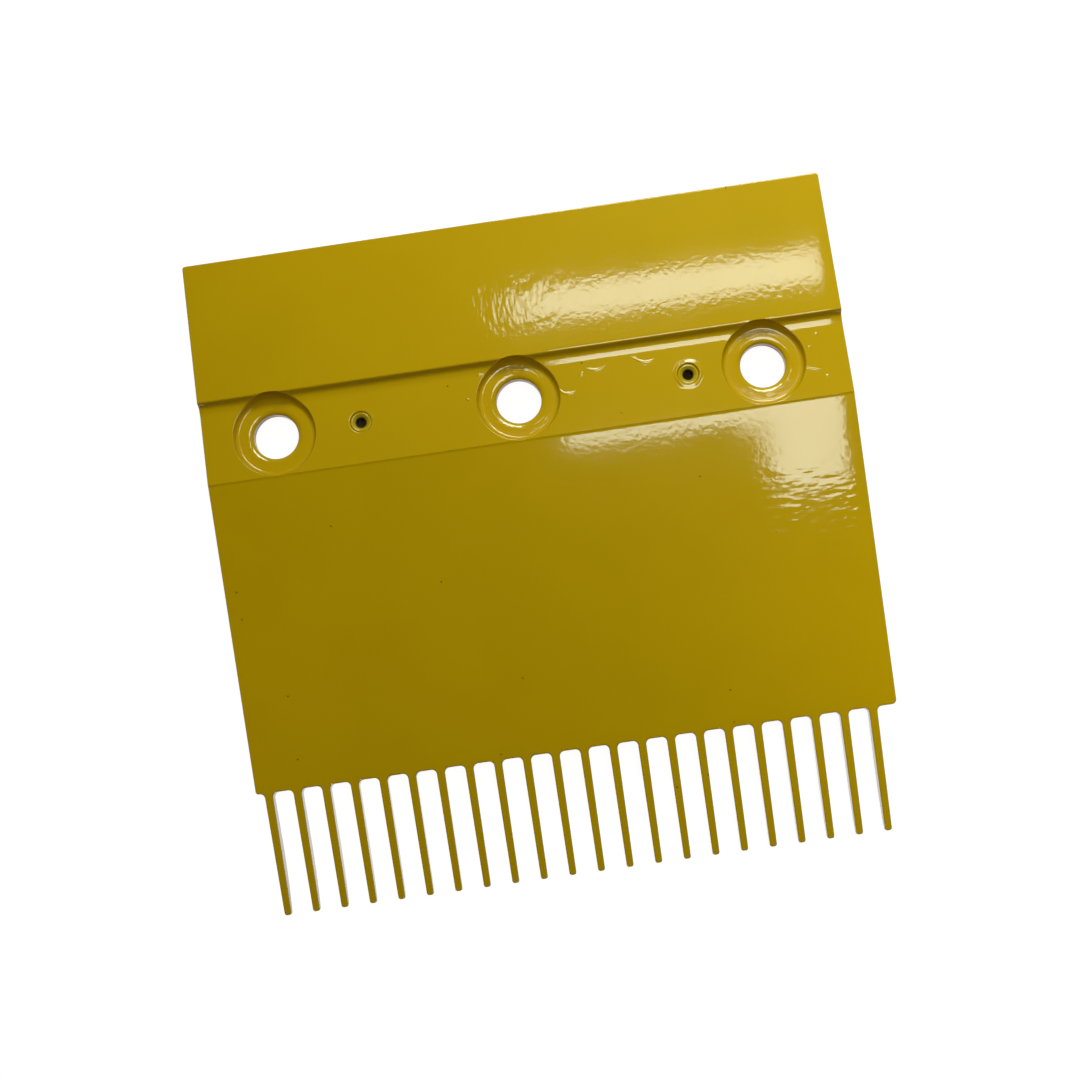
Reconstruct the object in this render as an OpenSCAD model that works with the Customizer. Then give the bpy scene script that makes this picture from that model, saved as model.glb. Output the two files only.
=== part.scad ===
// Comb segment of an escalator landing: a cast and painted aluminium comb with two thread inserts.
// The casting is drawn as four regions that meet face to face: the mounting plate, the front
// apron, the ribs under the apron and the row of teeth.
// Origin: on the axis of the middle fixing hole, in the mounting face.
// X runs along the comb, +Y points to the rear edge and +Z up along the fixing holes.

/* [Teeth] */
// Number of teeth
tooth_count = 22; // [8:1:30]
// Spacing of the teeth, the same as that of the cleats on the steps
tooth_pitch = 9.068; // [8:0.002:10]
// Length of a tooth in front of the apron, measured level
tooth_l = 38.4; // [30:0.1:45]
// Thickness of a tooth at its root
tooth_root_t = 2.6; // [2.2:0.1:3.4]
// Thickness of a tooth at its tip
tooth_tip_t = 2.2; // [1.8:0.1:2.6]
// Thickness of a tooth along its keel
tooth_keel_t = 1.6; // [1:0.1:2]
// Slope of a tooth's top edge below level
tooth_slope = 14; // [12:0.5:20]
// Height of a tooth at its tip
tooth_tip_h = 2.2; // [1.8:0.1:3]
// Height of a tooth at its belly
tooth_belly_h = 7.6; // [6.5:0.1:10]
// Distance of the belly from the apron's front edge
tooth_belly_at = 22; // [16:0.5:25]
// Radius of the belly
tooth_belly_r = 40; // [10:1:50]
// How far a keel runs back under the apron
keel_run = 8; // [4:0.5:20]
// Fillet between a tooth and the apron's front edge, seen from above
tooth_root_fillet = 1.5; // [0.5:0.1:2]
// Rounding of a tooth's tip
tooth_tip_r = 0.8; // [0.2:0.1:0.85]

/* [Width] */
// From the first tooth's centre to the left side, which meets the next segment
left_margin = 3.94; // [3.9:0.01:8]
// From the last tooth's centre to the right side, which meets the skirt panel
right_margin = 7.54; // [3.9:0.01:12]

/* [Mounting plate] */
// Thickness of the plate in the band of fixing holes
plate_t = 6; // [5:0.1:9]
// Height of the step up to the rear band
step_h = 2.4; // [1.2:0.1:4]
// Length of the rear band, from the rear edge to the step's lip
rear_band_l = 44.6; // [30:0.1:60]
// From the fixing holes to the step's lip
holes_to_lip = 12.8; // [12.75:0.05:20]
// From the fixing holes to the crease where the apron begins
holes_to_crease = 13.6; // [13:0.1:20]
// Lean of the step's wall, measured level
step_lean = 1.4; // [0.4:0.1:2]
// Fillet at the foot of the step
step_foot_r = 2.2; // [0.5:0.1:3]
// Rounding of the step's lip
step_lip_r = 0.6; // [0.2:0.1:1]
// Height of the small step down at the crease
crease_drop = 0.3; // [0.1:0.05:1]
// Rounding of the rear top edge
rear_edge_r = 0.8; // [0.2:0.1:2]
// Rounding of the outer corners, seen from above
corner_r = 1; // [0.3:0.1:2]

/* [Fixing holes] */
// Number of fixing holes
fixing_count = 3; // [2:1:3]
// Spacing of the fixing holes
fixing_spacing = 76.7; // [50:0.1:80]
// Radius of a fixing hole
fixing_r = 7; // [4:0.1:8]
// Radius of the counterbore at the face of the plate
sink_rim_r = 12.7; // [11.5:0.1:12.7]
// Lean of the counterbore's wall, measured level
sink_wall_lean = 0.8; // [0.3:0.1:1.5]
// Fillet between the counterbore's floor and its wall
sink_fillet = 1.5; // [0.5:0.1:2]
// Depth of the counterbore's floor
sink_depth = 2.4; // [1:0.1:3]
// Radius at which the lead-in to the hole begins
lead_in_r = 8.7; // [8.2:0.1:9.5]
// Depth of the lead-in below the counterbore's floor
lead_in_depth = 1.2; // [0.4:0.1:1.8]

/* [Coring under the rear band] */
// Number of coring pockets
pocket_count = 5; // [2:1:8]
// Depth of a pocket above the mounting face
pocket_depth = 3.6; // [1:0.1:3.8]
// Width of the land around and between the pockets
pocket_land = 4; // [2.5:0.1:8]
// Radius of a pocket's corners
pocket_r = 3; // [1:0.5:6]

/* [Apron] */
// Length of the apron, measured level
apron_l = 95.1; // [60:0.1:120]
// Thickness of the apron
apron_t = 4.6; // [3.5:0.1:5.6]
// Slope of the apron below level
apron_slope = 11.5; // [8:0.5:12]

/* [Apron ribs] */
// Number of ribs under the apron
rib_count = 10; // [4:1:16]
// Thickness of a rib
rib_t = 2.2; // [1.5:0.1:3]
// Height of a rib below the apron
rib_h = 5; // [2:0.1:7]
// Distance of the ribs from the apron's front edge, along the apron
rib_front_gap = 12; // [10:0.5:25]
// Distance of the ribs from the crease, along the apron
rib_rear_gap = 16; // [12:0.5:25]
// Length over which a rib's end slopes away
rib_run_out = 9; // [3:0.5:15]

/* [Thread inserts] */
// Distance between the two inserts, which sit evenly about the middle of the segment
insert_spacing = 102.6; // [90:0.1:110]
// Outer radius of an insert
insert_r = 3.25; // [3:0.05:4]
// Length of an insert
insert_l = 5.2; // [3:0.1:5.4]
// Radius of the tapped bore, at the thread's crests
insert_bore_r = 1.65; // [1.2:0.05:2.1]
// Radius of the countersink at the insert's mouth
insert_mouth_r = 2.5; // [2.2:0.05:2.8]
// Depth of the insert's mouth below the plate's face
insert_sink = 0.4; // [0:0.1:1]
// Clearance between an insert and its seat, on the radius
insert_fit = 0.02; // [0:0.01:0.1]

/* [Hidden] */
$fn = 48;
arc_steps = 6;
// Cutters pass this far beyond the faces that they open
over = 1;
// The root fillets start this far behind the apron's front face
root_lap = 0.05;

tooth_field = (tooth_count - 1) * tooth_pitch;
left_x = -tooth_field / 2 - left_margin;
right_x = tooth_field / 2 + right_margin;
middle_x = (left_x + right_x) / 2;

lip_y = holes_to_lip;
rear_y = lip_y + rear_band_l;
crease_y = -holes_to_crease;
front_y = crease_y - apron_l;
tip_y = front_y - tooth_l;
belly_y = front_y - tooth_belly_at;

rear_z = plate_t + step_h;
crease_z = plate_t - crease_drop;
apron_drop_t = apron_t / cos(apron_slope);
// Height of the apron's and the teeth's top faces at a place along Y
function apron_top(y) = crease_z - (crease_y - y) * tan(apron_slope);
function tooth_top(y) = apron_top(front_y) - (front_y - y) * tan(tooth_slope);
function apron_under(y) = apron_top(y) - apron_drop_t;
// The apron's underside comes out of the mounting face here
toe_y = crease_y - (crease_z - apron_drop_t) / tan(apron_slope);

paint = [0.72, 0.59, 0.05];
insert_paint = [0.55, 0.44, 0.08];

function unit(v) = v / norm(v);

// Points of a corner at b, between a and c, rounded to radius r as far as its sides allow
function corner(a, b, c, r) =
    r <= 0 ? [b] :
    let (
        to_a = unit(a - b),
        to_c = unit(c - b),
        half = acos(to_a * to_c) / 2,
        reach = min(r / tan(half), 0.48 * norm(a - b), 0.48 * norm(c - b)),
        radius = reach * tan(half),
        centre = b + unit(to_a + to_c) * radius / sin(half),
        from = b + to_a * reach - centre,
        to = b + to_c * reach - centre,
        start = atan2(from.y, from.x),
        turn = atan2(from.x * to.y - from.y * to.x, from * to)
    )
    [for (i = [0:arc_steps]) centre + radius * [cos(start + turn * i / arc_steps),
                                                sin(start + turn * i / arc_steps)]];

// Outline through points [x, y, radius], each corner rounded to its own radius
function rounded(points) =
    let (
        n = len(points),
        at = function (i) [points[(i + n) % n].x, points[(i + n) % n].y]
    )
    [for (i = [0:n - 1]) each corner(at(i - 1), at(i), at(i + 1), points[i][2])];

// A side profile drawn in Y and Z, carried along X
module along_x(from, to) {
    translate([from, 0, 0])
        rotate([90, 0, 90])
            linear_extrude(to - from)
                children();
}

// Everything inside an outline seen from above
module seen_from_above(points) {
    translate([0, 0, apron_under(tip_y) - 4 * tooth_belly_h])
        linear_extrude(rear_z - apron_under(tip_y) + 8 * tooth_belly_h)
            polygon(rounded(points));
}

module at_fixings() {
    for (i = [0:fixing_count - 1])
        translate([(i - (fixing_count - 1) / 2) * fixing_spacing, 0, 0])
            children();
}

// Fixing hole with its lead-in and its counterbore, whose sloping wall ends at the plate's face
module fixing_cut() {
    floor_z = plate_t - sink_depth;
    rotate_extrude()
        polygon(rounded([
            [0, -over, 0],
            [fixing_r, -over, 0],
            [fixing_r, floor_z - lead_in_depth, 0],
            [lead_in_r, floor_z, 0],
            [sink_rim_r - sink_wall_lean, floor_z, sink_fillet],
            [sink_rim_r, plate_t, 0],
            [sink_rim_r, rear_z + over, 0],
            [0, rear_z + over, 0]
        ]));
}

module insert_seat() {
    translate([0, 0, -over])
        cylinder(r = insert_r + insert_fit, h = plate_t + 2 * over);
}

// Pockets that keep the rear band's wall even, open at the mounting face
module coring() {
    pocket_front = lip_y + pocket_land;
    pocket_rear = rear_y - pocket_land;
    step = (right_x - left_x - pocket_land) / pocket_count;
    for (i = [0:pocket_count - 1]) {
        from = left_x + pocket_land + i * step;
        to = from + step - pocket_land;
        translate([0, 0, -over])
            linear_extrude(pocket_depth + over)
                polygon(rounded([
                    [from, pocket_front, pocket_r],
                    [to, pocket_front, pocket_r],
                    [to, pocket_rear, pocket_r],
                    [from, pocket_rear, pocket_r]
                ]));
    }
}

// Flat plate that lies on the comb carrier: a raised rear band and a sunk band of fixing holes
module mounting_plate() {
    color(paint)
        difference() {
            intersection() {
                along_x(left_x, right_x)
                    polygon(rounded([
                        [crease_y, 0, 0],
                        [rear_y, 0, rear_edge_r],
                        [rear_y, rear_z, rear_edge_r],
                        [lip_y, rear_z, step_lip_r],
                        [lip_y - step_lean, plate_t, step_foot_r],
                        [crease_y + 2 * crease_drop, plate_t, crease_drop],
                        [crease_y, crease_z, 0]
                    ]));
                seen_from_above([
                    [left_x, crease_y, 0],
                    [right_x, crease_y, 0],
                    [right_x, rear_y, corner_r],
                    [left_x, rear_y, corner_r]
                ]);
            }
            at_fixings() fixing_cut();
            for (side = [-1, 1])
                translate([middle_x + side * insert_spacing / 2, 0, 0]) insert_seat();
            coring();
        }
}

// Sloping front of the casting, from the crease down to the roots of the teeth
module front_apron() {
    color(paint)
        intersection() {
            along_x(left_x, right_x)
                polygon([
                    [crease_y, crease_z],
                    [front_y, apron_top(front_y)],
                    [front_y, apron_under(front_y)],
                    [toe_y, 0],
                    [crease_y, 0]
                ]);
            seen_from_above([
                [left_x, crease_y, 0],
                [left_x, front_y, corner_r],
                [right_x, front_y, corner_r],
                [right_x, crease_y, 0]
            ]);
        }
}

// Ribs along the underside of the apron, spread over the width of the comb
module apron_ribs() {
    from = -rib_rear_gap;
    to = -apron_l / cos(apron_slope) + rib_front_gap;
    color(paint)
        for (i = [0:rib_count - 1])
            translate([(i / (rib_count - 1) - 0.5) * tooth_field, crease_y, crease_z])
                rotate([apron_slope, 0, 0])
                    along_x(-rib_t / 2, rib_t / 2)
                        polygon(rounded([
                            [from, -apron_t, 0],
                            [from - rib_run_out, -apron_t - rib_h, rib_h],
                            [to + rib_run_out, -apron_t - rib_h, rib_h],
                            [to, -apron_t, 0]
                        ]));
}

// One tooth on X = 0: a fin whose belly dips into the step's grooves, thinner along its keel
module tooth() {
    flare = tooth_root_t / 2 + 2.2 * tooth_root_fillet;
    keel_y = front_y + keel_run;
    intersection() {
        along_x(-flare - over, flare + over)
            polygon(rounded([
                [front_y, tooth_top(front_y), 0],
                [tip_y, tooth_top(tip_y), tooth_tip_r],
                [tip_y, tooth_top(tip_y) - tooth_tip_h, tooth_tip_r],
                [belly_y, tooth_top(belly_y) - tooth_belly_h, tooth_belly_r],
                [keel_y, apron_under(keel_y), 0],
                [front_y, apron_under(front_y), 0]
            ]));
        seen_from_above([
            [-flare, keel_y + over, 0],
            [-flare, front_y + root_lap, 0],
            [-tooth_root_t / 2, front_y, tooth_root_fillet],
            [-tooth_tip_t / 2, tip_y, tooth_tip_r],
            [tooth_tip_t / 2, tip_y, tooth_tip_r],
            [tooth_root_t / 2, front_y, tooth_root_fillet],
            [flare, front_y + root_lap, 0],
            [flare, keel_y + over, 0]
        ]);
        tooth_section(flare + 2 * over);
    }
}

// Cross-section of a tooth, carried along its sloping top edge: the root fillets fade out
// below the top edge, and the flanks then draw in towards the keel
module tooth_section(half_w) {
    fade_from = tooth_tip_h / 4;
    fade_to = tooth_tip_h / 2;
    deep = 3 * tooth_belly_h;
    right_side = [
        [half_w, deep],
        [half_w, -fade_from],
        [tooth_root_t / 2, -fade_to],
        [tooth_keel_t / 2, -tooth_belly_h],
        [tooth_keel_t / 2, -deep]
    ];
    translate([0, front_y, tooth_top(front_y)])
        rotate([90 + tooth_slope, 0, 0])
            translate([0, 0, -3 * keel_run])
                linear_extrude(2 * (tooth_l + keel_run))
                    polygon([
                        each right_side,
                        for (i = [len(right_side) - 1:-1:0]) [-right_side[i].x, right_side[i].y]
                    ]);
}

module comb_teeth() {
    color(paint)
        for (i = [0:tooth_count - 1])
            translate([i * tooth_pitch - tooth_field / 2, 0, 0])
                tooth();
}

// Tapped bush pressed into the plate, its mouth countersunk
module thread_insert(side) {
    top = plate_t - insert_sink;
    countersink = insert_mouth_r - insert_bore_r;
    color(insert_paint)
        translate([middle_x + side * insert_spacing / 2, 0, 0])
            rotate_extrude()
                polygon([
                    [insert_bore_r, top - insert_l],
                    [insert_r, top - insert_l],
                    [insert_r, top],
                    [insert_mouth_r, top],
                    [insert_bore_r, top - countersink]
                ]);
}

mounting_plate();
front_apron();
apron_ribs();
comb_teeth();
thread_insert(-1);  // thread_insert_left
thread_insert(1);  // thread_insert_right
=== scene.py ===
import math

import bmesh
import bpy
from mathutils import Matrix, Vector


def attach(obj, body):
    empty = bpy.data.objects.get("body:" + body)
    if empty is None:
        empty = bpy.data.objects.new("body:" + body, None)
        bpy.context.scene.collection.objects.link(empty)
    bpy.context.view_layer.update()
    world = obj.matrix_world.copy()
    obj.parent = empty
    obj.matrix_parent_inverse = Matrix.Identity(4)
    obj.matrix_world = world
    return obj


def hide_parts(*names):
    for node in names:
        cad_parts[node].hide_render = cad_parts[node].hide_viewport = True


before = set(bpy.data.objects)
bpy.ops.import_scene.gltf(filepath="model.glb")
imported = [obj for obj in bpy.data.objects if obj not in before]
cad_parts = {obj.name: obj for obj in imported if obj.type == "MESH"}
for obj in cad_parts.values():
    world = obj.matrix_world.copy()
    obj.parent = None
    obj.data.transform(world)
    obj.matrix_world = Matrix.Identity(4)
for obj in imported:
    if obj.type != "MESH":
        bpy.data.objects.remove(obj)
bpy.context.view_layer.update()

# Comb casting: the plate, apron, ribs and teeth of the comb segment, one aluminium die casting
# under a thick coat of glossy yellow paint. It is laid out flat as a sheet of faces in
# millimetres, top and underside are then raised to their heights, and the rims are closed.


def start_edit(piece):
    bpy.ops.object.select_all(action="DESELECT")
    bpy.context.view_layer.objects.active = piece
    piece.select_set(True)
    bpy.ops.object.mode_set(mode="EDIT")


def end_edit():
    bpy.ops.object.mode_set(mode="OBJECT")


def middle(item):
    if isinstance(item, bmesh.types.BMVert):
        return item.co
    points = [v.co for v in item.verts]
    return sum(points, Vector()) / len(points)


def choose(kind, wanted):
    """Leaves only the wanted verts, edges or faces of the mesh in edit mode selected."""
    bpy.ops.mesh.select_mode(type=kind)
    bpy.ops.mesh.select_all(action="DESELECT")
    shape = bmesh.from_edit_mesh(bpy.context.edit_object.data)
    for item in {"VERT": shape.verts, "EDGE": shape.edges, "FACE": shape.faces}[kind]:
        if wanted(item, middle(item)):
            item.select_set(True)
    shape.select_flush_mode()
    bmesh.update_edit_mesh(bpy.context.edit_object.data, loop_triangles=False)


def near(a, b):
    return abs(a - b) < 0.004


def cut_at(axis, places):
    """Bisects what is selected at each place along X or Y."""
    for place in places:
        point = (place, 0, 0) if axis == "X" else (0, place, 0)
        normal = (1, 0, 0) if axis == "X" else (0, 1, 0)
        bpy.ops.mesh.bisect(plane_co=point, plane_no=normal, threshold=0.0001)


def push(x=0.0, y=0.0, z=0.0):
    bpy.ops.transform.translate(value=(x, y, z))


def squeeze(factor):
    bpy.ops.transform.resize(value=(factor, 1, 1), center_override=(0, 0, 0))


def grow_edges(x=0.0, y=0.0, z=0.0):
    bpy.ops.mesh.extrude_edges_move(TRANSFORM_OT_translate={"value": (x, y, z)})


def to_metres(piece):
    start_edit(piece)
    bpy.ops.mesh.select_all(action="SELECT")
    bpy.ops.transform.resize(value=(0.001, 0.001, 0.001), center_override=(0, 0, 0))
    end_edit()


# The flat layout starts as one tooth and its share of the apron's front edge
tooth_count = 22
tooth_pitch = 9.068
field = (tooth_count - 1) * tooth_pitch
front_y = -108.7
tip_y = -147.1
keel_y = front_y + 8
keel_half = 0.7
root_half = 1.3
tip_half = 1.1
tip_r = 0.8
root_fillet = 1.5
fillet_foot = root_half + root_fillet


def top_half(y):
    """Half the width of a tooth along its top, which draws in evenly to the tip."""
    done = (front_y - y) / (front_y - tip_y)
    return root_half + (tip_half - root_half) * done


bpy.ops.object.select_all(action="DESELECT")
bpy.ops.mesh.primitive_plane_add(size=1, location=(0, 0, 0))
casting = bpy.context.object
casting.name = "comb_casting"
start_edit(casting)
bpy.ops.mesh.select_all(action="SELECT")
bpy.ops.transform.resize(value=(tooth_pitch, front_y - keel_y, 1))
push(y=(front_y + keel_y) / 2)
for column in (-keel_half, -fillet_foot, keel_half, fillet_foot):
    bpy.ops.mesh.select_all(action="SELECT")
    cut_at("X", [column])
for row in (front_y + 1.8, front_y + 4.6):
    bpy.ops.mesh.select_all(action="SELECT")
    cut_at("Y", [row])
stations = []
for step in range(1, 5):
    turn = math.radians(22.5 * step)
    reach = root_fillet * (1 - math.cos(turn))
    half = top_half(front_y) + root_fillet * (1 - math.sin(turn))
    stations.append((front_y - reach, half if step < 4 else top_half(front_y - reach)))
for y in (-113, -116.5, -120, -123, -126, -129, -132, -135, -138.5, -142, -145.4, tip_y):
    stations.append((y, top_half(y)))
last_y, last_half = front_y, fillet_foot
choose("EDGE", lambda e, m: near(m.y, front_y) and abs(m.x) < fillet_foot)
for y, half in stations:
    grow_edges(y=y - last_y)
    choose("VERT", lambda v, m: near(m.y, y) and near(abs(m.x), last_half))
    squeeze(half / last_half)
    if half < last_half < root_half:
        choose("VERT", lambda v, m: near(m.y, y) and abs(m.x) < half - 0.1)
        squeeze(half / last_half)
    choose("EDGE", lambda e, m: near(m.y, y))
    last_y, last_half = y, half
# The rows near the root lean back in the middle, clear of the rounding along the edge
for row_y, lean in zip((front_y, *(y for y, half in stations)), (0.8, 0.41, 0.24, 0.13)):
    choose("VERT", lambda v, m: near(m.y, row_y) and near(abs(m.x), keel_half))
    push(y=lean)
# The last cell is one face, and its corners are rounded to the tip
choose("EDGE", lambda e, m: m.y < stations[-2][0] - 0.1 and abs(m.x) < tip_r
       and abs(e.verts[0].co.y - e.verts[1].co.y) > 1)
bpy.ops.mesh.dissolve_edges(use_verts=True)
choose("VERT", lambda v, m: near(m.y, tip_y))
bpy.ops.mesh.bevel(offset=tip_r, segments=5, affect="VERTICES", clamp_overlap=False)
bpy.ops.mesh.select_all(action="SELECT")
push(x=-field / 2)
end_edit()


# Its copies stand in a row and join
def repeat(piece, count, pitch):
    copies = piece.modifiers.new("copies", "ARRAY")
    copies.count = count
    copies.use_relative_offset = False
    copies.use_constant_offset = True
    copies.constant_offset_displace = (pitch, 0, 0)
    copies.use_merge_vertices = True
    copies.merge_threshold = 0.001
    bpy.ops.object.modifier_apply(modifier=copies.name)


repeat(casting, tooth_count, tooth_pitch)

# The ends of the row move to the sides of the segment, and the sheet grows back row by row
left_x = -field / 2 - 3.94
right_x = field / 2 + 7.54
rear_y = 57.4
step_foot = 8.7
step_head = 13.5
start_edit(casting)
for row_end, side_x in ((-(field + tooth_pitch) / 2, left_x), ((field + tooth_pitch) / 2, right_x)):
    choose("VERT", lambda v, m: near(m.x, row_end))
    push(x=side_x - row_end)
choose("EDGE", lambda e, m: near(m.y, keel_y))
step_rows = [step_foot, 9.1, 9.5, 9.85, 10.2, 10.6, 10.9, 11.2, 11.5, 11.75, 11.95, 12.1, 12.25, 12.4, 12.52,
             12.63, 12.75, 12.88, 13.02, 13.18, step_head]
last_y = keel_y
for y in (-18.54, -16.6, -15.2, -14.6, -14.2, -13.95, -13.75, -13.6, -13.45, -13.25, -13.1, -13.03, -13.0,
          -12.97, -12.85, -12.5, -9, -4.5, 0, 4.5, 8.0, *step_rows, 13.8, 14.5, 24, 34, 46, rear_y):
    grow_edges(y=y - last_y)
    last_y = y
for corner_x, corner_y, radius in ((left_x, front_y, 0.9), (right_x, front_y, 1.4),
                                   (left_x, rear_y, 1.0), (right_x, rear_y, 1.0)):
    choose("VERT", lambda v, m: near(m.x, corner_x) and near(m.y, corner_y))
    bpy.ops.mesh.bevel(offset=radius, segments=5, affect="VERTICES", clamp_overlap=False)
# Rings along the whole outline carry the rounding of the edges
edge_r = 0.4
edge_rings = 3
edge_turn = math.radians(90 / edge_rings)
bpy.ops.mesh.select_all(action="SELECT")
bpy.ops.mesh.select_mode(type="FACE")
for ring in range(edge_rings):
    wide = edge_r * (math.cos(ring * edge_turn) - math.cos((ring + 1) * edge_turn))
    bpy.ops.mesh.inset(thickness=wide, use_boundary=True, use_even_offset=True)
end_edit()
under = casting.copy()
under.data = casting.data.copy()
under.name = "comb_underside"
bpy.context.collection.objects.link(under)

# Three counterbored fixing holes and two seats for thread inserts open in the sheet
fixing_xs = (-76.7, 0.0, 76.7)
fixing_r = 7.0
sink_rim = 13.3
lead_in = 2
lip_reach = 5.0
seat_r = 3.27
insert_xs = ((left_x + right_x) / 2 - 51.3, (left_x + right_x) / 2 + 51.3)


def overlaps(face, x, reach):
    """Whether a face of the flat layout comes nearer than reach to a hole's axis."""
    xs = [v.co.x for v in face.verts]
    ys = [v.co.y for v in face.verts]
    aside = max(min(xs) - x, 0, x - max(xs))
    along = max(min(ys), 0, -max(ys))
    return math.hypot(aside, along) < reach


def open_hole(x, reach, radii, segments):
    """Takes a round hole out of the flat sheet and fits rings of faces to it, inwards."""
    axis = Vector((x, 0, 0))
    choose("FACE", lambda f, m: overlaps(f, x, reach))
    bpy.ops.mesh.delete(type="FACE")
    bpy.ops.mesh.select_all(action="DESELECT")
    bpy.ops.mesh.primitive_circle_add(vertices=segments, radius=radii[0], location=axis)
    choose("EDGE", lambda e, m: e.is_wire or (e.is_boundary and (m - axis).length < reach + 6))
    bpy.ops.mesh.fill(use_beauty=True)
    choose("EDGE", lambda e, m: e.is_boundary and near((e.verts[0].co - axis).length, radii[0]))
    for here, there in zip(radii, radii[1:]):
        grow_edges()
        bpy.ops.transform.resize(value=(there / here, there / here, 1), center_override=axis)


sink_rings = [sink_rim, 13.2, 13.12, 13.08, 13.04, 12.99, 12.93, 12.86, 12.78, 12.63, 12.47, 12.38, 12.28,
              12.17, 12.05, 11.92, 11.78, 11.64, 11.49, 11.34, 11.1, 10.7, 10.2, 9.7, 9.25]
sink_rings += [fixing_r + lead_in * (1 - math.sin(math.radians(7.5 * i))) for i in range(13)]
lip_rings = [lip_reach, 4.75, 4.5, 4.3, 4.1, 3.9, 3.75, 3.6, 3.48, 3.38, 3.31, seat_r]
start_edit(casting)
for x in fixing_xs:
    for side in (-1, 1):
        choose("FACE", lambda f, m: 8 < m.y < 14 and 4 < side * (m.x - x) < 15)
        cut_at("X", [x + side * (5 + 0.55 * i) for i in range(17)])
for x in fixing_xs:
    open_hole(x, sink_rim + 0.2, sink_rings, 128)
for x in insert_xs:
    open_hole(x, lip_reach + 0.3, lip_rings, 64)
end_edit()
start_edit(under)
for x in fixing_xs:
    open_hole(x, fixing_r + 0.3, [fixing_r], 128)
for x in insert_xs:
    open_hole(x, seat_r + 0.23, [seat_r], 64)
end_edit()

# Heights of the top: rear band, step, sunk band, crease, apron and teeth
band_top = 8.4
sunk_top = 6
crease_y = -13.6
crease_top = 5.7
apron_fall = math.tan(math.radians(11.5))
tooth_fall = math.tan(math.radians(14))


def blend_down(a, b, soft):
    """The lower of two heights, with the corner between them rounded."""
    share = max(soft - abs(a - b), 0)
    return min(a, b) - share * share / (4 * soft)


def blend_up(a, b, soft):
    return -blend_down(-a, -b, soft)


def apron_top(y):
    return crease_top - (crease_y - y) * apron_fall


# Side profile of the step where it bends, as Y, Z and slope: a hollow foot, steep wall and round lip
step_bends = ((step_foot, sunk_top, 0), (10.2, 6.179, 0.25), (11.0, 6.392, 0.35), (12.1, 7.312, 1.61),
              (12.5, 7.956, 1.53), (13.0, 8.374, 0.19), (step_head, band_top, 0))


def step_up(y):
    """Height of the plate across the step, a smooth curve from bend to bend."""
    if y <= step_foot:
        return sunk_top
    for (y0, z0, slope0), (y1, z1, slope1) in zip(step_bends, step_bends[1:]):
        if y < y1:
            wide = y1 - y0
            t = (y - y0) / wide
            return (z0 * (1 + 2 * t) * (1 - t) ** 2 + slope0 * wide * t * (1 - t) ** 2
                    + z1 * t * t * (3 - 2 * t) + slope1 * wide * t * t * (t - 1))
    return band_top


def sink(r):
    """Height of a counterbore at a distance from its axis: rolled lead-in, floor, bowl and wall."""
    floor_z = 3.6
    bowl_foot = 11.34
    bowl_r = 1.2
    rim_r = 13.05
    if r < fixing_r + lead_in:
        return floor_z - 1.2 + 1.2 * math.sqrt(max(1 - (1 - (r - fixing_r) / lead_in) ** 2, 0))
    across = r - bowl_foot
    if across <= 0:
        return floor_z
    if across < 0.94 * bowl_r:
        return floor_z + bowl_r - math.sqrt(bowl_r * bowl_r - across * across)
    wall = floor_z + 0.66 * bowl_r + (across - 0.94 * bowl_r) * 2.75
    return max(wall, sunk_top + (r - rim_r) * 12)


def paint_lip(x, y, raised):
    """Height of the uneven rim of paint round a thread insert."""
    r = math.hypot(x, y)
    angle = math.atan2(y, x)
    centre = 3.8 + 0.12 * math.cos(6 * angle + 0.4) + 0.06 * math.sin(3 * angle)
    rim = raised * (1 + 0.4 * math.sin(2 * angle + 1) + 0.25 * math.cos(5 * angle))
    inner = max(3.6 - r, 0) / 0.33
    return rim * math.exp(-((r - centre) / 0.55) ** 2) - 0.3 * inner * inner


def plate_top(x, y):
    height = step_up(y)
    if y < -12:
        crease = blend_up(crease_top + (y - crease_y) * 0.5, apron_top(y), 0.08)
        height = min(sunk_top, crease)
    for hole in fixing_xs:
        r = math.hypot(x - hole, y)
        if r < sink_rim:
            height = blend_down(height, sink(r), 0.6)
    for hole, raised in zip(insert_xs, (0.04, 0.2)):
        if math.hypot(x - hole, y) < lip_reach + 0.2:
            height += paint_lip(x - hole, y, raised)
    return height


def tooth_top(y):
    return apron_top(front_y) - (front_y - y) * tooth_fall


def casting_top(x, y):
    if y > -15:
        return plate_top(x, y)
    return blend_down(apron_top(y), tooth_top(y), 0.12)


# Heights of the underside: flat mounting face, apron, root fillets and the bellied teeth
apron_deep = 4.694


def keel_line(y):
    """Height of a tooth's underside: down from under the apron to the belly, then up to the tip."""
    start = (keel_y, apron_top(keel_y) - apron_deep)
    belly = (front_y - 22, tooth_top(front_y - 22) - 7.6)
    tip = (tip_y, tooth_top(tip_y) - 2.2)
    down = start[1] + (belly[1] - start[1]) * (start[0] - y) / (start[0] - belly[0])
    up = tip[1] + (belly[1] - tip[1]) * (y - tip[0]) / (belly[0] - tip[0])
    return blend_up(down, up, 3.4)


def past_root(y):
    """Share of the way through the root fillet, from 0 at the apron to 1 at the free tooth."""
    return min(max((front_y - y) / root_fillet, 0), 1)


def casting_under(y):
    web = min(0, apron_top(y) - apron_deep)
    done = past_root(y)
    return web + (keel_line(y) - web) * done * done * (3 - 2 * done)


def drawn_in(x, y):
    """Place across the comb of a point on the underside, where the teeth are thinner."""
    if y > front_y:
        return x
    centre = round((x + field / 2) / tooth_pitch) * tooth_pitch - field / 2
    deep = tooth_top(y) - keel_line(y)
    thin = min(root_half - 0.5 * (deep - 1.1) / 6.5, top_half(y)) / top_half(y)
    return centre + (x - centre) * (1 + (thin - 1) * past_root(y))


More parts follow.
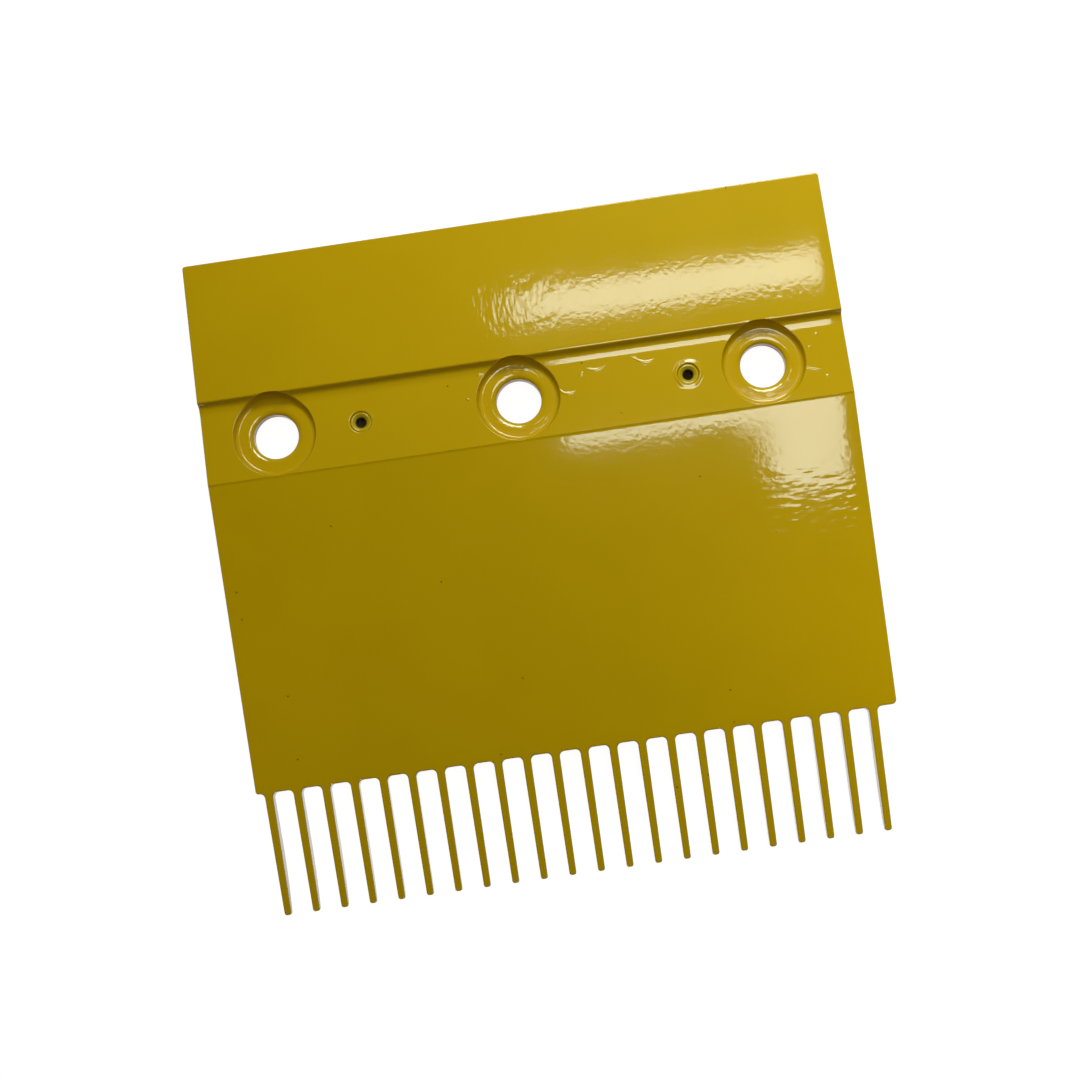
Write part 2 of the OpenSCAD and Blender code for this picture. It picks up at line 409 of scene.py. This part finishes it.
def rings_inwards(piece):
    """Number of the outline ring that each vertex of the sheet lies on, from 0 at the rim."""
    shape = bmesh.new()
    shape.from_mesh(piece.data)
    level = {}
    hole_xs = (*fixing_xs, *insert_xs)
    fresh = [v for v in shape.verts if v.is_boundary
             and (abs(v.co.y) > 7.2 or min(abs(v.co.x - x) for x in hole_xs) > 7.2)]
    for ring in range(edge_rings):
        for v in fresh:
            level[v.index] = ring
        fresh = {e.other_vert(v) for v in fresh for e in v.link_edges}
        fresh = [v for v in fresh if v.index not in level]
    shape.free()
    return level


for piece in (casting, under):
    level = rings_inwards(piece)
    for v in piece.data.vertices:
        x, y = v.co.x, v.co.y
        ring = level.get(v.index, edge_rings)
        drop = edge_r * (1 - math.sin(ring * edge_turn))
        if piece is casting:
            v.co.z = casting_top(x, y) - drop
        else:
            v.co.z = casting_under(y) + drop
            v.co.x = drawn_in(x, y)

# Keels run back from the teeth under the apron's front edge
start_edit(under)
choose("FACE", lambda f, m: stations[3][0] < m.y < keel_y
       and abs((m.x + field / 2 + tooth_pitch / 2) % tooth_pitch - tooth_pitch / 2) < keel_half / 2)
bpy.ops.mesh.extrude_region_move(TRANSFORM_OT_translate={"value": (0, 0, -30)})
end_edit()
for v in under.data.vertices:
    if v.co.z < -40:
        v.co.z = min(keel_line(v.co.y), v.co.z + 30)
start_edit(under)
bpy.ops.mesh.select_all(action="SELECT")
bpy.ops.mesh.remove_doubles(threshold=0.002)
end_edit()

# Top and underside join: the rim of the top is drawn down to the rim of the underside
bpy.ops.object.select_all(action="DESELECT")
under.select_set(True)
casting.select_set(True)
bpy.context.view_layer.objects.active = casting
bpy.ops.object.join()
start_edit(casting)
choose("EDGE", lambda e, m: e.is_boundary)
bpy.ops.mesh.bridge_edge_loops(type="PAIRS")
bpy.ops.mesh.select_all(action="SELECT")
bpy.ops.mesh.normals_make_consistent(inside=False)
end_edit()


# Five coring pockets lie under the rear band
def finish_tool():
    """Leaves edit mode with the tool's faces outwards and its place in its mesh."""
    bpy.ops.mesh.select_all(action="SELECT")
    bpy.ops.mesh.normals_make_consistent(inside=False)
    end_edit()
    bpy.ops.object.transform_apply(location=True, rotation=True, scale=True)


def work_into(piece, tool, operation):
    """Cuts the tool out of the piece, or adds it to the piece, and takes the tool away."""
    bpy.ops.object.select_all(action="DESELECT")
    bpy.context.view_layer.objects.active = piece
    work = piece.modifiers.new("work", "BOOLEAN")
    work.operation = operation
    work.solver = "EXACT"
    work.object = tool
    bpy.ops.object.modifier_apply(modifier=work.name)
    bpy.data.objects.remove(tool)


pocket_count = 5
pocket_land = 4
pocket_pitch = (right_x - left_x - pocket_land) / pocket_count
pocket_wide = pocket_pitch - pocket_land
pocket_long = 36.6
pocket_high = 4.6
pocket_roof = 3.6
pocket_y = rear_y - pocket_land - pocket_long / 2
bpy.ops.object.select_all(action="DESELECT")
pocket_at = (left_x + pocket_land + pocket_wide / 2, pocket_y, pocket_roof - pocket_high / 2)
bpy.ops.mesh.primitive_cube_add(size=1, location=pocket_at)
pocket = bpy.context.object
start_edit(pocket)
bpy.ops.transform.resize(value=(pocket_wide, pocket_long, pocket_high))
choose("EDGE", lambda e, m: near(m.z, 0))
bpy.ops.mesh.bevel(offset=3, segments=6, affect="EDGES")
choose("EDGE", lambda e, m: m.z > 2.2)
bpy.ops.mesh.bevel(offset=0.9, segments=3, affect="EDGES")
finish_tool()
repeat(pocket, pocket_count, pocket_pitch)
work_into(casting, pocket, "DIFFERENCE")

# Ten ribs run down under the apron: each narrows to its foot, and its ends slope and are rounded
rib_count = 10
rib_wide = 2.6
rib_long = 74.45
rib_high = 6.5
rib_foot_long = 51.05
rib_foot_z = -9.6
rib_y = -50.53
bpy.ops.object.select_all(action="DESELECT")
bpy.ops.mesh.primitive_cube_add(size=1, location=(-field / 2, crease_y, crease_top))
rib = bpy.context.object
start_edit(rib)
bpy.ops.transform.resize(value=(rib_wide, rib_long, rib_high))
push(y=rib_y, z=rib_foot_z + rib_high / 2)
choose("VERT", lambda v, m: near(m.z, rib_foot_z))
bpy.ops.transform.resize(value=(0.7, rib_foot_long / rib_long, 1))
choose("EDGE", lambda e, m: near(m.z, rib_foot_z) and abs(e.verts[0].co.x - e.verts[1].co.x) > 1)
bpy.ops.mesh.bevel(offset=4, segments=5, affect="EDGES")
choose("EDGE", lambda e, m: m.z < -6.4 and abs(m.x) > 0.5 and abs(e.verts[0].co.x - e.verts[1].co.x) < 0.5)
bpy.ops.mesh.bevel(offset=0.5, segments=3, affect="EDGES")
end_edit()
rib.rotation_euler.x = math.atan(apron_fall)
start_edit(rib)
finish_tool()
repeat(rib, rib_count, field / (rib_count - 1))
work_into(casting, rib, "UNION")

# Runs of paint on the sunk band: each is a path of points in X and Y with its half width
paint_runs = (((19.8, 4.3), (20.1, 4.7), (20.5, 5.0), (20.9, 5.2), (21.3, 5.3), 0.55),
              ((21.6, 6.0), (23.2, 6.5), (24.5, 4.9), (26.0, 5.2), (28.4, 6.7), 0.5),
              ((36.5, 8.1), (38.2, 6.7), (39.9, 5.2), (41.4, 5.3), (43.3, 6.3), 0.5),
              ((13.3, 0.5), (14.4, -0.7), (15.5, -1.0), (16.6, -0.8), (17.9, -0.1), 0.5),
              ((90.3, -3.9), (91.0, -4.1), (91.8, -4.1), (92.6, -5.1), (93.7, -4.5), 0.42),
              ((94.7, -7.1), (95.0, -7.0), (95.3, -6.9), (95.6, -6.9), (95.9, -6.9), 0.45),
              ((90.8, 3.0), (91.1, 3.0), (91.4, 2.9), (91.7, 2.9), (92.0, 2.8), 0.4),
              ((93.4, 6.9), (93.7, 6.8), (94.1, 6.8), (94.4, 6.8), (94.7, 6.7), 0.42),
              ((-11.6, 9.2), (-11.4, 9.3), (-11.2, 9.5), (-11.0, 9.6), (-10.8, 9.7), 0.4),
              ((-15.7, 1.8), (-15.6, 1.9), (-15.5, 2.1), (-15.4, 2.3), (-15.3, 2.4), 0.45))
run_swell = (0.35, 1.0, 0.85, 1.1, 0.35)
run_flat = 0.24
for run in paint_runs:
    bpy.ops.object.select_all(action="DESELECT")
    bpy.ops.curve.primitive_nurbs_path_add(location=(0, 0, 0))
    path = bpy.context.object
    path.data.bevel_depth = 1.4 * run[-1]
    path.data.bevel_resolution = 3
    path.data.use_fill_caps = True
    for point, (x, y), swell in zip(path.data.splines[0].points, run, run_swell):
        point.co = (x, y, 0, 1)
        point.radius = swell
    bpy.ops.object.convert(target="MESH")
    path = bpy.context.object
    path.scale.z = run_flat
    path.location.z = sunk_top - 0.01
    bpy.ops.object.transform_apply(location=True, rotation=True, scale=True)
    work_into(casting, path, "UNION")

# Millimetres become metres, and the shading follows the large faces
to_metres(casting)
bpy.ops.object.shade_smooth_by_angle(angle=math.radians(50))
weigh = casting.modifiers.new("even shading", "WEIGHTED_NORMAL")
weigh.keep_sharp = True
weigh.weight = 50
bpy.ops.object.modifier_apply(modifier=weigh.name)


class Flow:
    """A value on its way through a material's nodes, so that maths on it can be written out."""

    def __init__(self, tree, socket=None):
        self.tree = tree
        self.socket = socket

    def node(self, kind, settings=None, values=None, out=0):
        """An output of a new node, which gets its settings and then its sockets' values."""
        made = self.tree.nodes.new(kind)
        for name, value in (settings or {}).items():
            setattr(made, name, value)
        for name, value in (values or {}).items():
            if isinstance(value, Flow):
                self.tree.links.new(value.socket, made.inputs[name])
            else:
                made.inputs[name].default_value = value
        return Flow(self.tree, made.outputs[out]) if made.outputs else None

    def other(self, name):
        """Another output of the node that this value comes from."""
        return Flow(self.tree, self.socket.node.outputs[name])

    def __add__(self, more):
        return self.node("ShaderNodeMath", {"operation": "ADD"}, {0: self, 1: more})

    def __sub__(self, less):
        return self.node("ShaderNodeMath", {"operation": "SUBTRACT"}, {0: self, 1: less})

    def __rsub__(self, whole):
        return self.node("ShaderNodeMath", {"operation": "SUBTRACT"}, {0: whole, 1: self})

    def __mul__(self, factor):
        return self.node("ShaderNodeMath", {"operation": "MULTIPLY"}, {0: self, 1: factor})

    __radd__ = __add__
    __rmul__ = __mul__


def fade(value, start, end, low=0.0, high=1.0):
    """Smooth change from low to high while the value goes from start to end."""
    return value.node("ShaderNodeMapRange", {"interpolation_type": "SMOOTHSTEP"},
                      {"Value": value, "From Min": start, "From Max": end, "To Min": low, "To Max": high})


def distance(across, ahead):
    """Length of a step in X and Y."""
    return across.node("ShaderNodeMath", {"operation": "SQRT"}, {0: across * across + ahead * ahead})


def greater(a, b):
    return a.node("ShaderNodeMath", {"operation": "MAXIMUM"}, {0: a, 1: b})


def mix(share, first, second):
    """Mix of two colours."""
    return share.node("ShaderNodeMix", {"data_type": "RGBA"}, {0: share, 6: first, 7: second}, out=2)


def open_material(name):
    """A new material with no nodes yet, and a Flow to start them from."""
    material = bpy.data.materials.new(name)
    material.use_nodes = True
    material.node_tree.nodes.clear()
    return material, Flow(material.node_tree)


# The paint: glossy, with orange peel, small pits, tool marks round the holes and a dull underside
yellow_paint, start = open_material("yellow_paint")
place = start.node("ShaderNodeTexCoord", out="Object")
along = place.node("ShaderNodeSeparateXYZ", {}, {"Vector": place})
back = along.other("Y")
high = along.other("Z")


def noise(scale, detail, roughness=0.5, where=place):
    return where.node("ShaderNodeTexNoise", {},
                      {"Vector": where, "Scale": scale, "Detail": detail, "Roughness": roughness})


def patch(x, y, radius):
    """One inside a round patch of the top face, fading to nothing at its radius."""
    return fade(distance(along - x, back - y), radius, 0.4 * radius)


def stretched(wide, long):
    """The place on the casting with a pattern's size across and along the flow of the paint."""
    return place.node("ShaderNodeMapping", {},
                     {"Vector": place, "Scale": (wide, long, 1.0), "Rotation": (0, 0, 0.14)})


yellow = mix(fade(noise(34, 3.0), 0.35, 0.65), (0.570, 0.334, 0.0008, 1), (0.586, 0.344, 0.0010, 1))
cells = place.node("ShaderNodeTexVoronoi", {"feature": "F1", "voronoi_dimensions": "2D"},
                  {"Vector": place, "Scale": 95.0})
cell_kind = place.node("ShaderNodeSeparateColor", {}, {"Color": cells.other("Color")})
speck = fade(cells, 0.034, 0.018) * fade(cell_kind, 0.93, 0.94)
yellow = mix(speck * 0.8, yellow, (0.06, 0.035, 0.004, 1))

peel = noise(640, 1.0) * 0.0085 + noise(115, 1.0) * 0.003
peel = peel + noise(680, 1.0, 0.4, stretched(1.0, 0.38)) * patch(0.001, 0.034, 0.025) * 0.034
peel = peel + noise(520, 1.0, 0.4, stretched(0.42, 1.1)) * patch(0.085, -0.048, 0.030) * 0.036
half_spacing = fixing_xs[2] / 2000
wrapped = along.node("ShaderNodeMath", {"operation": "WRAP"}, {0: along, 1: half_spacing, 2: -half_spacing})
from_hole = distance(wrapped, back)
in_sink = fade(from_hole, 0.0128, 0.0118)
in_wall = fade(from_hole, 0.0105, 0.0112) * fade(from_hole, 0.0129, 0.0125)
round_hole = back.node("ShaderNodeMath", {"operation": "ARCTAN2"}, {0: back, 1: wrapped})
round_hole = place.node("ShaderNodeCombineXYZ", {}, {"X": from_hole, "Y": round_hole * 0.003})
scratch = (noise(900, 2.0, 0.6, round_hole) * 0.06 + noise(700, 2.0) * 0.012) * in_sink
relief = place.node("ShaderNodeBump", {}, {"Strength": 1.0, "Distance": 0.001, "Height": peel + scratch})

fallen = greater(crease_y / 1000 - back, 0.0) * apron_fall
top_line = fade(back, 0.0127, 0.0130, crease_top / 1000, band_top / 1000) - fallen
dull = fade(top_line - high, 0.0042, 0.0048) * fade(back, -0.109, -0.1075) * 0.4
gloss = fade(noise(60, 2.0), 0.3, 0.7, 0.044, 0.058) + in_wall * 0.05 + dull
coat = start.node("ShaderNodeBsdfPrincipled", {},
                  {"Base Color": yellow, "Roughness": gloss, "Normal": relief, "IOR": 1.56,
                   "Coat Weight": 0.04, "Coat Roughness": 0.32})
start.node("ShaderNodeOutputMaterial", {}, {"Surface": coat})
casting.data.materials.clear()
casting.data.materials.append(yellow_paint)
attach(casting, "root")
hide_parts("mounting_plate", "front_apron", "apron_ribs", "comb_teeth")

# Thread inserts: steel bushes tapped M4 and pressed into the plate, their mouths countersunk
# and painted over with the casting.
insert_r = 3.25
insert_top = 5.6
insert_foot = 0.4
crest_r = 1.65
thread_pitch = 0.7
thread_deep = 0.36
thread_top = insert_top - 0.85
thread_rows = 44


def make_insert(name, node_name, x):
    bpy.ops.object.select_all(action="DESELECT")
    bpy.ops.mesh.primitive_circle_add(vertices=48, radius=insert_r, location=(x, 0, insert_foot))
    bush = bpy.context.object
    bush.name = name
    bpy.ops.object.transform_apply(location=True, rotation=True, scale=True)
    start_edit(bush)
    rings = [(insert_r, insert_top - 0.35), (3.2, insert_top - 0.15), (3.05, insert_top - 0.03),
             (2.9, insert_top), (2.6, insert_top - 0.02), (2.45, insert_top - 0.12),
             (crest_r + 0.12, insert_top - 0.78)]
    row_high = (thread_top - insert_foot) / thread_rows
    rings += [(crest_r, thread_top - row_high * i) for i in range(thread_rows + 1)]
    rings.append((insert_r, insert_foot))
    here_r, here_z = insert_r, insert_foot
    bpy.ops.mesh.select_all(action="SELECT")
    for r, z in rings:
        grow_edges(z=z - here_z)
        bpy.ops.transform.resize(value=(r / here_r, r / here_r, 1), center_override=(x, 0, z))
        here_r, here_z = r, z
    bpy.ops.mesh.select_all(action="SELECT")
    bpy.ops.mesh.remove_doubles(threshold=0.002)
    bpy.ops.mesh.normals_make_consistent(inside=False)
    end_edit()
    # The thread: the bore's rows swell outwards between its crests, round and round
    for v in bush.data.vertices:
        aside = v.co.x - x
        if near(math.hypot(aside, v.co.y), crest_r) and insert_foot + 0.05 < v.co.z < thread_top - 0.01:
            phase = (v.co.z / thread_pitch - math.atan2(v.co.y, aside) / (2 * math.pi)) % 1
            grow = 1 + thread_deep * (1 - abs(2 * phase - 1)) / crest_r
            v.co.x = x + aside * grow
            v.co.y *= grow
    to_metres(bush)
    bpy.ops.object.shade_smooth_by_angle(angle=math.radians(35))
    bush.data.materials.append(insert_metal)
    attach(bush, "root")
    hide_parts(node_name)


insert_metal, start = open_material("insert_metal")
place = start.node("ShaderNodeTexCoord", out="Object")
high = place.node("ShaderNodeSeparateXYZ", {}, {"Vector": place}, out="Z")
# Above the paint line the mouth is yellow paint; below it the bore is coloured near black, painted shade
# deep in the tapped bore over its bare steel.
painted = fade(high, 0.0046, 0.0051)
mouth_paint_and_bore_shade = mix(painted, (0.02, 0.014, 0.006, 1), (0.50, 0.325, 0.0015, 1))
coat = start.node("ShaderNodeBsdfPrincipled", {},
                  {"Base Color": mouth_paint_and_bore_shade, "Roughness": fade(painted, 0, 1, 0.45, 0.14)})
start.node("ShaderNodeOutputMaterial", {}, {"Surface": coat})
make_insert("thread_insert_left_bush", "thread_insert_left", insert_xs[0])
make_insert("thread_insert_right_bush", "thread_insert_right", insert_xs[1])

# Floor: one large plain white sheet that the rear edge and the bellies of the teeth rest on. It
# shows white to the camera and in the gloss, except for two small rounds of painted shadow under
# the inserts' bores, and can't be seen from below.
belly_y = -131.5
belly_drop = 26.22
bpy.ops.object.select_all(action="DESELECT")
bpy.ops.mesh.primitive_plane_add(size=6, location=(0, 0, 0))
floor = bpy.context.object
floor.name = "floor"
floor.rotation_euler.x = math.atan2(belly_drop, rear_y - belly_y)
floor.location = (0, rear_y / 1000, -0.0002)
bpy.ops.object.transform_apply(location=True, rotation=True, scale=True)
floor_white, start = open_material("floor_white")
seen = start.node("ShaderNodeLightPath", out="Is Camera Ray")
shown = greater(seen, greater(seen.other("Is Glossy Ray"), seen.other("Is Transmission Ray")))
behind = start.node("ShaderNodeNewGeometry", out="Backfacing")
place = start.node("ShaderNodeTexCoord", out="Object")


def painted_shadow_round(x, y):
    """Painted shadow: nothing in a small round of floor that shows through an insert's bore, and one outside
    it.
    """
    offset = place.node("ShaderNodeVectorMath", {"operation": "SUBTRACT"}, {0: place, 1: (x, y, 0)})
    offset = place.node("ShaderNodeVectorMath", {"operation": "MULTIPLY"}, {0: offset, 1: (1, 1, 0)})
    offset = place.node("ShaderNodeVectorMath", {"operation": "LENGTH"}, {0: offset}, out="Value")
    return fade(offset, 0.005, 0.008)


# The floor's glow is taken away in two small rounds seen through the inserts' bores: painted shadow of the
# plate.
clear_of_painted_shadow = painted_shadow_round(0.0541, 0.0027) * painted_shadow_round(-0.0508, 0.0027)
tone = mix(shown, (0.8, 0.8, 0.8, 1), (0.15, 0.15, 0.15, 1))
matt = start.node("ShaderNodeBsdfDiffuse", {}, {"Color": tone})
glow = start.node("ShaderNodeEmission", {}, {"Color": (1, 1, 1, 1), "Strength": shown * clear_of_painted_shadow * 0.96})
both = start.node("ShaderNodeAddShader", {}, {0: matt, 1: glow})
clear = start.node("ShaderNodeBsdfTransparent")
whole = start.node("ShaderNodeMixShader", {}, {0: behind * seen, 1: both, 2: clear})
start.node("ShaderNodeOutputMaterial", {}, {"Surface": whole})
floor.data.materials.append(floor_white)

# Lamps: panels overhead that show in the paint's gloss, a soft key behind the right shoulder of
# the part, and a weak fill for each front corner.


def hang_lamp(name, kind, stand, energy, tint, settings):
    data = bpy.data.lights.new(name, kind)
    data.energy = energy
    data.color = tint
    for setting, value in settings.items():
        setattr(data, setting, value)
    lamp = bpy.data.objects.new(name, data)
    bpy.context.collection.objects.link(lamp)
    lamp.location = stand
    return lamp


panels = (("strip_lamp", (0.000, 0.287), (0.316, 0.350), 8.4),
          ("strip_lamp_end", (-0.022, 0.000), (0.316, 0.350), 4.5),
          ("panel_lamp", (0.020, 0.285), (-0.211, 0.180), 8.1),
          ("panel_lamp_end", (0.214, 0.284), (-0.284, -0.211), 8.1),
          ("panel_lamp_side", (0.200, 0.214), (-0.260, -0.211), 5.0),
          ("panel_lamp_notch", (0.182, 0.200), (-0.224, -0.211), 4.0))
for name, x_range, y_range, radiance in panels:
    wide = x_range[1] - x_range[0]
    deep = y_range[1] - y_range[0]
    hang_lamp(name, "AREA", (sum(x_range) / 2, sum(y_range) / 2, 1.0), radiance * math.pi * wide * deep,
              (0.94, 1.0, 0.86), {"shape": "RECTANGLE", "size": wide, "size_y": deep})
spots = (("key_lamp", (0.22, 0.66, 0.78), (0.27, 0.33, 0), 53, 75, 0.25, (0.87, 1.0, 0.8)),
         ("right_fill", (0.13, -0.75, 0.75), (0.118, -0.085, -0.01), 8, 6.8, 0.05, (1, 1, 1)),
         ("left_fill", (-0.13, -0.75, 0.75), (-0.118, -0.085, -0.01), 3.9, 6.8, 0.05, (1, 1, 1)))
for name, stand, aim, energy, cone, soft, tint in spots:
    lamp = hang_lamp(name, "SPOT", stand, energy, tint,
                     {"spot_size": math.radians(cone), "spot_blend": 1.0, "shadow_soft_size": soft})
    lamp.rotation_euler = (Vector(aim) - Vector(stand)).to_track_quat("-Z", "Y").to_euler()

# Room: a plain studio, brighter near the horizon and behind the part than overhead.
world = bpy.data.worlds.new("studio")
bpy.context.scene.world = world
world.use_nodes = True
world.node_tree.nodes.clear()
start = Flow(world.node_tree)
ray = start.node("ShaderNodeTexCoord", out="Generated")
rear = start.node("ShaderNodeSeparateXYZ", {}, {"Vector": ray}, out="Y")
up = rear.other("Z")
level = fade(up, 0.3, 0.75, 0.2, 0.02) * fade(rear, -0.3, 0.4, 0.2, 1.0)
background = start.node("ShaderNodeBackground", {}, {"Color": (1, 1, 1, 1), "Strength": level})
start.node("ShaderNodeOutputWorld", {}, {"Surface": background})

# Camera: near overhead, about half a metre above the part, as in the photograph.
camera_data = bpy.data.cameras.new("camera")
camera_data.lens = 53.333
camera_data.sensor_width = 36
camera = bpy.data.objects.new("camera", camera_data)
bpy.context.collection.objects.link(camera)
camera.location = (0.0091475, -0.1200818, 0.4890278)
camera.rotation_euler = [math.radians(turn) for turn in (8.62192, 2.26240, -8.01360)]
bpy.context.scene.camera = camera
bpy.context.scene.view_settings.view_transform = "Standard"
